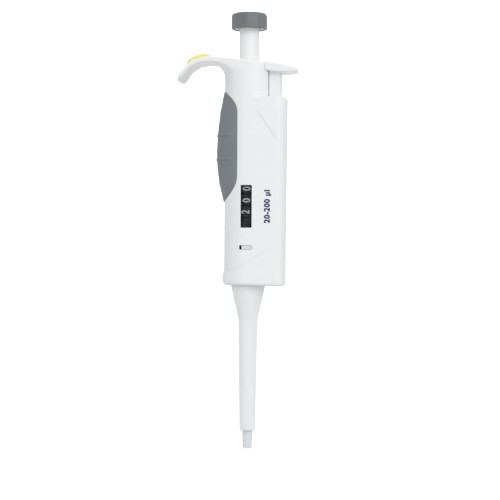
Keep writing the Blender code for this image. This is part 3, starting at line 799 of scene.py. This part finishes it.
def lever_outline():
    """The lever's plate from above: it hugs the column, and its free end is rounded."""
    hug = HANDLE_RADIUS + 0.14
    horn = math.asin(LEVER_HALF_WIDTH / hug)
    flat = math.acos((COLUMN_FRONT + 0.4) / hug)
    angles = [horn + (flat - horn) * i / 8 for i in range(9)]
    inner = [(hug * math.cos(a), hug * math.sin(a)) for a in angles]
    inner += [(x, -y) for x, y in reversed(inner)]
    outer = []
    radius = LEVER_TIP_RADIUS
    for start in (-80, 0):
        centre_x = LEVER_TIP_X - radius
        centre_y = (LEVER_HALF_WIDTH - radius) * (-1 if start < 0 else 1)
        for i in range(8):
            a = math.radians(start + 80 * i / 7)
            outer.append((centre_x + radius * math.cos(a), centre_y + radius * math.sin(a)))
    return inner + outer


LEVER_PLAN = lever_outline()
LEVER_SIDE = smooth_line(LEVER_TOP, 4) + LEVER_UNDER


def lever_skin(x, y, z):
    wedge = round_cut(polygon_distance(x, z, LEVER_SIDE), polygon_distance(x, y, LEVER_PLAN), 0.55)
    sides = rounded_box(x - 13.98, y, 3.02, BAR_HALF_WIDTH, 0.2)
    bar = np.maximum(np.maximum(sides, z - 114.0), BAR_LOW_Z - z)
    return round_join(wedge, bar, 0.35)


def make_hook_cap():
    low, high = (-34.0, -9.0, 116.0), (-19.0, 9.0, 123.0)
    cap = solid_skin("yellow_cap", cap_skin, low, high, 0.25, "yellow_plastic")
    finish_piece(cap, "handle", ["colour_cap"], 50.0)


def make_plunger():
    low, high = BUTTON_Z
    corners = (-11.0, -11.0, 134.5), (11.0, 11.0, 145.5)
    button = solid_skin("button", button_skin, *corners, 0.3, "grey_plastic")
    finish_piece(button, "plunger", ["button_cap"], 50.0)
    top = high - 3.2
    insert = [(0, top), (7.75, top), (7.75, low + 0.4), (6.4, low + 0.4), (6.4, low + 2.3), (5.6, low + 2.3)]
    insert += [(5.6, 139.3), (0, 139.3)]
    piece = turned("insert", softened(insert, 0.25), "white_plastic", 72)
    finish_piece(piece, "plunger", ["button_insert"])
    stem = [(5.3, 139.0), (5.3, 93.0), (4.3, 93.0), (4.3, 99.0)]
    stem += [(3.2, 99.0), (3.2, 133.0), (0.6, 133.0), (0.6, 139.0)]
    piece = turned("stem", softened(stem, 0.35), "white_plastic")
    finish_piece(piece, "plunger", ["plunger_stem"])


def make_lever():
    lever = solid_skin("lever", lever_skin, (6.0, -12.2, 83.0), (27.3, 12.2, 118.5), 0.35, "white_plastic")
    carve(lever, turned("socket", [(0, 90), (1.8, 90), (1.8, 80), (0, 80)], None, 32, (14.3, 0)))
    finish_piece(lever, "ejector", ["ejector_lever"], 45.0)


# ---------------------------------------------------------------- nose

def make_nose():
    collar = [(9.7, 14.3), (9.7, 13.6), (8.9, 13.6), (8.9, 0.6)]
    flare = [(8.45, -3.4), (7.85, -6.6), (7.05, -9.8), (6.25, -13.0), (5.55, -16.2), (5.05, -19.3)]
    flare += [(4.8, -28.9)]
    curve = smooth_line([(9.1, 0.0), *flare], 4)
    inner = [(3.1, -76.6), (4.05, -21), (4.6, -16.6), (5.2, -13.2), (5.9, -10.2), (6.8, -6.4)]
    inner += [(7.2, -2.5), (7.2, 14.3)]
    end = [(4.2, -75.0), (4.12, -76.0), (3.95, -76.45), (3.7, -76.6)]
    sleeve = turned("nose_sleeve", collar + curve + end + inner, "white_plastic")
    finish_piece(sleeve, "ejector", ["ejector_sleeve"])
    cone = [(5.3, 13), (5.3, 0.7), (6.6, 0.7), (6.6, -1.3), (5.4, -2.0), (5.4, -9.6), (4.75, -12.8)]
    cone += [(4.2, -16.2), (3.7, -20), (3.2, -48), (2.7, -76.6), (2.62, -79.4), (2.42, -85.3), (2.2, -85.8)]
    cone += [(0.8, -85.8), (0.8, -50), (2.55, -48), (2.55, -15.6), (3.5, -15.6), (3.5, -9.6)]
    cone += [(4.4, -9.6), (4.4, 13)]
    piece = turned("nose_cone", softened(cone, 0.3), "natural_plastic", 72)
    finish_piece(piece, "handle", ["tip_cone"])


# ---------------------------------------------------------------- counter, window and slider

def lettering(name, text, height, width_share, thickness, weight=0.0, spacing=1.0):
    """Flat letters lying in XY, centred, as a mesh of that cap height in millimetres.

    Weight thickens the strokes, as a share of the type size."""
    data = bpy.data.curves.new(name, "FONT")
    data.body = text
    data.size = 1.0
    data.align_x = "CENTER"
    data.extrude = 0.5
    data.offset = weight
    data.space_character = spacing
    data.resolution_u = 4
    source = bpy.data.objects.new(name, data)
    bpy.context.scene.collection.objects.link(source)
    bpy.context.view_layer.update()
    graph = bpy.context.evaluated_depsgraph_get()
    mesh = bpy.data.meshes.new_from_object(source.evaluated_get(graph))
    bpy.data.objects.remove(source, do_unlink=True)
    tall = 0.7
    mesh.transform(Matrix.Translation((0, -tall / 2, 0)))
    mesh.transform(Matrix.Diagonal((height / tall * width_share, height / tall, thickness, 1)))
    return mesh


def finish_print(name, cage, look, body):
    """Ink as an object of its own, with doubled points merged and all faces outward."""
    bmesh.ops.remove_doubles(cage, verts=cage.verts, dist=1e-8)
    bmesh.ops.recalc_face_normals(cage, faces=cage.faces)
    mesh = bpy.data.meshes.new(name)
    cage.to_mesh(mesh)
    cage.free()
    mesh.materials.append(LOOKS[look])
    obj = bpy.data.objects.new(name, mesh)
    bpy.context.scene.collection.objects.link(obj)
    finish_piece(obj, body)


def wrapped_digits(name, body, centre, shown):
    """The ten digits round a drum, each lying on its side, as thin raised ink. The shown one faces -Y."""
    cage = bmesh.new()
    for digit in range(10):
        mesh = lettering("digit", str(digit), DIGIT_HEIGHT, 0.77, 0.06, 0.012)
        piece = bmesh.new()
        piece.from_mesh(mesh)
        bpy.data.meshes.remove(mesh)
        for cut in np.arange(-2.4, 2.5, 0.4):
            geometry = piece.verts[:] + piece.edges[:] + piece.faces[:]
            bmesh.ops.bisect_plane(piece, geom=geometry, dist=1e-6, plane_co=(0, cut, 0), plane_no=(0, 1, 0))
        middle = math.radians(-90 - 36 * (digit - shown))
        for vertex in piece.verts:
            angle = middle - vertex.co.y / DRUM_RADIUS
            radius = DRUM_RADIUS + 0.01 + vertex.co.z
            height = centre + vertex.co.x
            vertex.co = Vector((radius * math.cos(angle), radius * math.sin(angle), height)) * MM
        shared = bpy.data.meshes.new("digit")
        piece.to_mesh(shared)
        piece.free()
        cage.from_mesh(shared)
        bpy.data.meshes.remove(shared)
    finish_print(name, cage, "digit_ink", body)


def make_counter():
    """The drums, and the digits on them: 200 shows at rest."""
    bodies = {"units": "dial", "tens": "tens_wheel", "hundreds": "hundreds_wheel", "blank": "handle"}
    for node, centre in DRUM_CENTRES.items():
        low, high = centre - 2.85, centre + 2.85
        profile = [(DRUM_RADIUS, high), (DRUM_RADIUS, low), (9.2, low), (9.2, low + 4)]
        profile += [(6.2, low + 4), (6.2, low), (5.0, low), (5.0, high)]
        wheel = turned(node.replace("drum", "wheel"), softened(profile, 0.18, 3), "black_plastic", 120)
        finish_piece(wheel, bodies[node.removesuffix("_drum")], [node])
    for name, shown in (("units", 0), ("tens", -0.02), ("hundreds", 1.9)):
        wrapped_digits(f"{name}_digits", bodies[name], DRUM_CENTRES[f"{name}_drum"] - DIGIT_DROP, shown)


def make_window():
    low, high = WINDOW_Z
    half = WINDOW_HALF_WIDTH - 0.25
    middle = (low + high) / 2
    tall = (high - low) / 2 - 0.25

    def pane(x, y, z):
        return round_cut(rounded_box(x, z - middle, half, tall, 0.3), np.abs(y + 11.6) - 0.5, 0.12)

    corners = (-3.2, -12.5, low - 0.3), (3.2, -10.7, high + 0.3)
    lens = solid_skin("window_pane", pane, *corners, 0.2, "clear_plastic")
    lens.visible_shadow = False
    finish_piece(lens, "handle", ["window_lens"], 40.0)


def slider_skin(x, y, z):
    """The light bar in the slot, square at its back end and round at its front end."""
    middle = sum(SLOT_Z) / 2
    bar = rounded_box(x - 0.5, z - middle, 2.8, 1.02, np.where(x < 0.5, 0.15, 0.9))
    return np.maximum(round_cut(bar, -12.7 - y, 0.2), y + 9.95)


def plate_skin(x, y, z):
    """A black plate behind the slider's bar, closing the slot where the bar isn't: painted shade that darkens
    the slot's gaps.
    """
    return round_cut(rounded_box(x - 0.5, z - 19.95, 4.1, 1.55, 0.3), np.abs(y + 9.58) - 0.35, 0.1)


def make_slider():
    corners = (-4.2, -13.2, 18.0), (5.2, -9.4, 22.4)
    slider = solid_skin("slot_slider", slider_skin, *corners, 0.14, "light_grey_plastic")
    finish_piece(slider, "slider", ["lock_slider"], 45.0)
    # The black plate below is painted shade for the dark gaps round the bar in the slot.
    corners = (-4.2, -10.4, 18.0), (5.2, -8.8, 22.4)
    plate = solid_skin("slot_shade_plate", plate_skin, *corners, 0.14, "black_plastic")
    finish_piece(plate, "slider")


def make_marking():
    """A plain capacity range, printed flat on the handle's side and read upwards."""
    mesh = lettering("marking", "20-200 µl", 2.85, 1.0, 0.05, 0.045, 1.1)
    reading_upwards = Matrix(((0, -1, 0, 0), (0, 0, -1, 0), (1, 0, 0, 0), (0, 0, 0, 1)))
    middle = Matrix.Translation((10.95, -12.87, 41.4))
    mesh.transform(Matrix.Diagonal((MM, MM, MM, 1)) @ middle @ reading_upwards)
    cage = bmesh.new()
    cage.from_mesh(mesh)
    bpy.data.meshes.remove(mesh)
    finish_print("capacity_marking", cage, "navy_ink", "handle")


# ---------------------------------------------------------------- springs

def spring(name, radius, wire, low, high, turns, at, node):
    """A compression spring with a flat closed turn at either end."""
    per_turn, around = 32, 10
    count = turns * per_turn + 1
    position = np.arange(count) / per_turn
    ramp = np.clip((position - 0.75) / (turns - 1.5), 0, 1)
    heights = low + wire + (high - low - 2 * wire) * (0.06 * position / turns + 0.94 * ramp)
    angle = position * math.tau
    centre = np.stack([at[0] + radius * np.cos(angle), at[1] + radius * np.sin(angle), heights], 1)
    points = []
    for (x, y, z), turn in zip(centre, angle):
        for i in range(around):
            a = math.tau * i / around
            out = wire * math.cos(a)
            points.append((x + out * math.cos(turn), y + out * math.sin(turn), z + wire * math.sin(a)))
    faces = tube_faces(count, around)
    faces.append(tuple(range(around)))
    faces.append(tuple(range((count - 1) * around, count * around)))
    obj = new_object(name, points, faces, "stainless_steel")
    orient(obj)
    return finish_piece(obj, "handle", [node])


def make_springs():
    main = spring("plunger_spring", 6.2, 0.45, 58.5, 90.8, 8, (0, 0), "main_spring")
    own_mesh(main)
    eject = spring("return_spring", 2.5, 0.35, 60.4, 79.1, 8, (14.3, 0), "ejector_spring")
    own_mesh(eject)
    spring("stop_spring", 3.6, 0.3, -9.3, -4.1, 4, (0, 0), "blowout_spring")


# ---------------------------------------------------------------- nodes that keep their CAD shape

CARRIED = {
    "grey_plastic": [
        "drive_collar", "drive_sleeve", "pusher_rod", "counter_axle", "counter_retainer", "guide_plate",
        "pinion_bracket", "rod_guide", "lower_frame",
    ],
    "natural_plastic": ["upper_bearing", "lower_bearing", "tens_pinion", "hundreds_pinion", "piston_seal"],
    "stainless_steel": [
        "thrust_washer", "piston_head", "piston", "pinion_shaft", "ejector_rod", "rod_clip", "ejector_foot",
        "seal_retainer", "blowout_washer",
    ],
    "brass": ["drive_nut", "volume_screw"],
    "black_rubber": ["seal_o_ring"],
}


def finish_carried_nodes():
    for look, names in CARRIED.items():
        for name in names:
            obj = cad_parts[name]
            for slot in obj.material_slots:
                slot.material = LOOKS[look]


make_camera()
make_studio()
make_handle()
make_hook_cap()
make_plunger()
make_lever()
make_nose()
make_counter()
make_window()
make_slider()
make_marking()
make_springs()
finish_carried_nodes()
